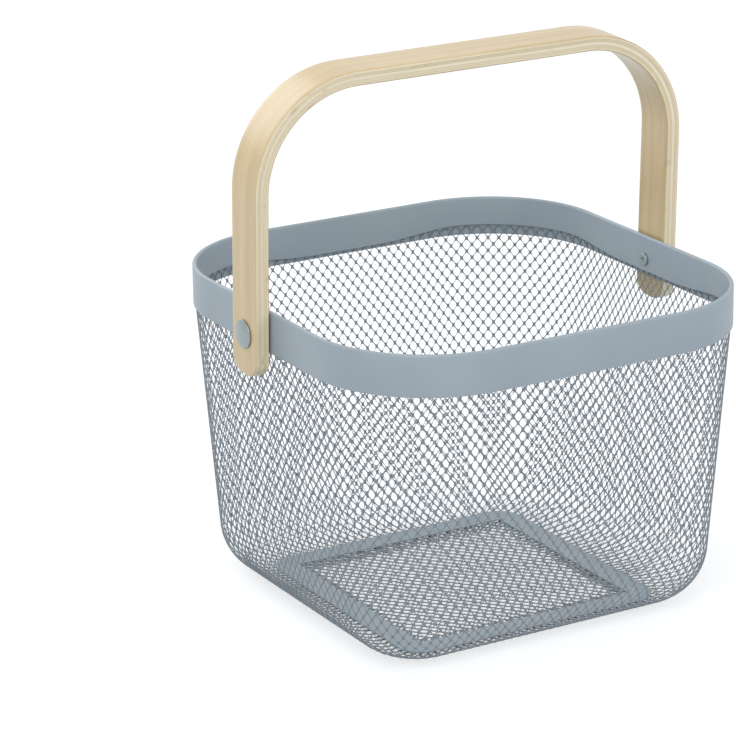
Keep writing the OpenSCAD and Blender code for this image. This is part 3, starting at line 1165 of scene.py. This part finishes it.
@dataclass
class Rivets:
    """The two rivets that the handle turns on, with low domed heads and closed, dimpled tails.

    The chamfers head_break, under the head, and dimple_foot, round the dimple's floor, are each
    given as a length along the rivet and a length across it.
    """

    rim_half: float = 119.0
    rim_t: float = 2.5
    washer_t: float = 0.8
    gap: float = 0.1
    handle_t: float = 8.0
    pivot: float = 162.0
    head_d: float = 15.0
    head_t: float = 2.0
    head_edge_t: float = 0.9
    head_edge_r: float = 0.3
    head_break: tuple[float, float] = (0.2, 0.47)
    shank_d: float = 5.0
    tail_d: float = 7.0
    tail_t: float = 1.4
    tail_edge_r: float = 0.63
    dimple_d: float = 2.6
    dimple_depth: float = 0.98
    dimple_foot: tuple[float, float] = (0.3, 0.35)
    dimple_lip_r: float = 0.2
    lip_turn_deg: float = 75.0
    lip_steps: int = 5
    dome_steps: int = 13
    dimple_steps: int = 3
    tail_steps: int = 6
    steps: int = 56

    def profile(self) -> Array:
        """Half of the rivet's section: distance out from the basket's middle, and radius.

        It starts in the tail's dimple, rounds the tail, follows the shank out and ends in the
        middle of the head's dome, an arc through the head's edge and its crown.

        Returns:
            One row for each point, with a radius of zero at both ends.
        """
        seat = self.rim_half - self.rim_t
        head = self.rim_half + self.washer_t + 2 * self.gap + self.handle_t
        end = seat - self.tail_t
        floor, dimple_r, dimple_lip = end + self.dimple_depth, self.dimple_d / 2, self.dimple_lip_r
        tail_r, tail_edge, shank_r = self.tail_d / 2, self.tail_edge_r, self.shank_d / 2
        r, edge, crown = self.head_d / 2, self.head_edge_r, self.head_t - self.head_edge_t
        dome = (r * r + crown * crown) / (2 * crown)
        lip = arc_points((head + self.head_edge_t - edge, r - edge), edge, 90, -self.lip_turn_deg,
                         self.lip_steps)
        reach = np.linspace(lip[-1, 1], 0, self.dome_steps + 1)[1:]
        crown_x = head + self.head_t - dome + np.sqrt(dome ** 2 - reach ** 2)
        foot_up, foot_in = self.dimple_foot
        break_up, break_in = self.head_break
        return np.concatenate([
            [[floor, 0.0], [floor, dimple_r - foot_in], [floor - foot_up, dimple_r]],
            arc_points((end + dimple_lip, dimple_r + dimple_lip), dimple_lip, -90, -90,
                       self.dimple_steps),
            arc_points((end + tail_edge, tail_r - tail_edge), tail_edge, 180, -90, self.tail_steps),
            [[seat, tail_r], [seat, shank_r], [head, shank_r], [head, r - break_in],
             [head + break_up, r]],
            lip, np.stack([crown_x, reach], axis=-1)])

    def build(self, plate: Material) -> list[Object]:
        """Turns the profile about the pivots' line on each side, with a pole at each of its ends.

        Args:
            plate: the rivets' plating.

        Returns:
            The left and right rivet, riding on the basket.
        """
        profile = self.profile()
        body = profile[1:-1]
        c = np.arange(self.steps)
        a, after = 2 * math.pi * c / self.steps, (c + 1) % self.steps
        tail_pole = np.full(self.steps, len(body) * self.steps)
        last = len(body) * self.steps - self.steps
        caps = np.concatenate([np.stack([tail_pole, after, c], axis=-1),
                               np.stack([tail_pole + 1, last + c, last + after], axis=-1)])
        faces = [grid_faces(len(body), self.steps, False, True), caps]
        pieces = []
        for side, name in ((-1, "left"), (1, "right")):
            x = np.broadcast_to(side * body[:, :1], (len(body), self.steps))
            ring = np.stack([x, body[:, 1:] * np.cos(a), self.pivot + body[:, 1:] * np.sin(a)],
                            axis=-1).reshape(-1, 3)
            poles = [[side * end, 0, self.pivot] for end in profile[[0, -1], 0]]
            piece = closed_object("rivet_" + name + "_plated", np.concatenate([ring, poles]), faces,
                                  [plate])
            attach(piece, "basket")
            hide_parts("rivet_" + name)
            pieces.append(piece)
        return pieces


# ---------------------------------------------------------------- the studio

def seen(tree: NodeTree) -> NodeSocket:
    """Tells what the camera sees from what lights the basket.

    Args:
        tree: a material's or the world's node tree.

    Returns:
        An output that is 1 on what is seen straight, through glass or reflected, and else 0.
    """
    path, most = add_node(tree, "LightPath"), {"operation": "MAXIMUM"}
    straight, through, reflected = [path[f"Is {kind} Ray"]
                                    for kind in ("Camera", "Transmission", "Glossy")]
    direct = add_node(tree, "Math", {0: straight, 1: through}, most)[0]
    return add_node(tree, "Math", {0: direct, 1: reflected}, most)[0]


@dataclass(frozen=True)
class PaleFloor(Finish):
    """Matt pale paper: it glows for the camera up to white and keeps the basket's shadow."""

    colour: str = "#cbced1"
    glow: float = 0.47

    def shader(self, tree: NodeTree) -> NodeSocket:
        """Makes the matt surface and its glow.

        Args:
            tree: the material's node tree.

        Returns:
            The shader's output.
        """
        glow = add_node(tree, "Math", {0: seen(tree), 1: self.glow}, {"operation": "MULTIPLY"})[0]
        matte = add_node(tree, "BsdfDiffuse", {"Color": linear(self.colour)})["BSDF"]
        lit = add_node(tree, "Emission", {"Color": WHITE, "Strength": glow})["Emission"]
        return add_node(tree, "AddShader", {0: matte, 1: lit})["Shader"]


@dataclass(frozen=True)
class Lamp:
    """A square soft lamp, with its place and the side of its square in metres."""

    name: str
    place: Point
    size: float
    watts: float

    def hang(self, aim: Point) -> None:
        """Adds the lamp to the scene.

        Args:
            aim: the point that it faces.
        """
        data = bpy.data.lights.new(self.name, "AREA")
        data.shape, data.size, data.energy = "SQUARE", self.size, self.watts
        lamp = bpy.data.objects.new(self.name, data)
        lamp.rotation_euler = (Vector(aim) - Vector(self.place)).to_track_quat("-Z", "Y").to_euler()
        lamp.location = self.place
        bpy.context.scene.collection.objects.link(lamp)


@dataclass
class Studio:
    """A pale floor, a white surround, soft lamps and the camera. Lengths here are in metres."""

    camera_at: Point = (-0.91581, -1.50054, 0.70888)
    right: Point = (0.85313, -0.52167, -0.00493)
    down: Point = (-0.16308, -0.25771, -0.95236)
    forward: Point = (0.49555, 0.81329, -0.30494)
    lens_mm: float = 172.34
    sensor_mm: float = 36.0
    shift: tuple[float, float] = (-0.1221, -0.0616)
    clip: tuple[float, float] = (0.05, 50.0)
    surround: float = 0.68
    aim: Point = (0.0, 0.0, 0.12)
    floor_half: float = 9.0

    LAMPS = (Lamp("key_lamp", (-1.1, -1.3, 1.6), 1.2, 18.0),
             Lamp("fill_lamp", (1.4, -1.4, 1.2), 1.2, 6.5),
             Lamp("rim_lamp", (-0.5, 1.65, 1.15), 1.3, 10.5))

    def camera(self) -> None:
        """Puts the camera at the photograph's place and angle."""
        data = bpy.data.cameras.new("camera")
        data.lens, data.sensor_width = self.lens_mm, self.sensor_mm
        data.shift_x, data.shift_y = self.shift
        data.clip_start, data.clip_end = self.clip
        camera = bpy.data.objects.new("camera", data)
        turn = Matrix((self.right, [-v for v in self.down], [-v for v in self.forward]))
        place = Matrix.Translation(Vector(self.camera_at))
        camera.matrix_world = place @ turn.transposed().to_4x4()
        bpy.context.scene.collection.objects.link(camera)
        bpy.context.scene.camera = camera

    def world(self) -> None:
        """A white surround: full white to the camera and to reflections, softer as a light."""
        world = bpy.data.worlds.new("surround")
        world.use_nodes = True
        tree = world.node_tree
        tree.nodes.clear()
        strength = add_node(tree, "MapRange", {"Value": seen(tree), "To Min": self.surround,
                                               "To Max": 1.0})["Result"]
        sky = add_node(tree, "Background", {"Color": WHITE, "Strength": strength})["Background"]
        add_node(tree, "OutputWorld", {"Surface": sky})
        bpy.context.scene.world = world

    def ground(self) -> None:
        """Lays a large pale floor."""
        mesh = bpy.data.meshes.new("studio_floor")
        corners = [(x * self.floor_half, y * self.floor_half, 0)
                   for x, y in ((-1, -1), (1, -1), (1, 1), (-1, 1))]
        mesh.from_pydata(corners, [], [(0, 1, 2, 3)])
        ground = bpy.data.objects.new("studio_floor", mesh)
        bpy.context.scene.collection.objects.link(ground)
        dress(ground, PaleFloor("pale_floor").material())

    def build(self) -> None:
        """Sets up the camera, lamps, surround and floor."""
        bpy.context.scene.view_settings.view_transform = "Standard"
        self.camera()
        for lamp in self.LAMPS:
            lamp.hang(self.aim)
        self.world()
        self.ground()


def main() -> None:
    """Builds the basket piece by piece."""
    logging.basicConfig(level=logging.INFO, format="%(name)s: %(message)s")
    form, lattice = BasketForm(), Lattice()
    # the mesh's coat is the sheet's powder with painted shade in its darker colour
    sheet_coat, mesh_coat_painted_shade = SHEET_COAT.material(), SHADED_MESH_COAT.material()
    Studio().build()
    made = MeshBody(form, lattice).build(mesh_coat_painted_shade)
    floor = Floor(lattice)
    made += [floor.panel(mesh_coat_painted_shade), floor.frame(sheet_coat), Rim(form).build(sheet_coat)]
    made += BentHandle().build()
    made += Rivets().build(RIVET_PLATE.material())
    washer = WASHER_PLATE.material()
    for name in ("washer_left", "washer_right"):
        dress(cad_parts[name], washer)
        made.append(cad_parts[name])
    for piece in made:
        LOG.info("%s: %d faces", piece.name, len(piece.data.polygons))


if __name__ == "__main__":
    main()
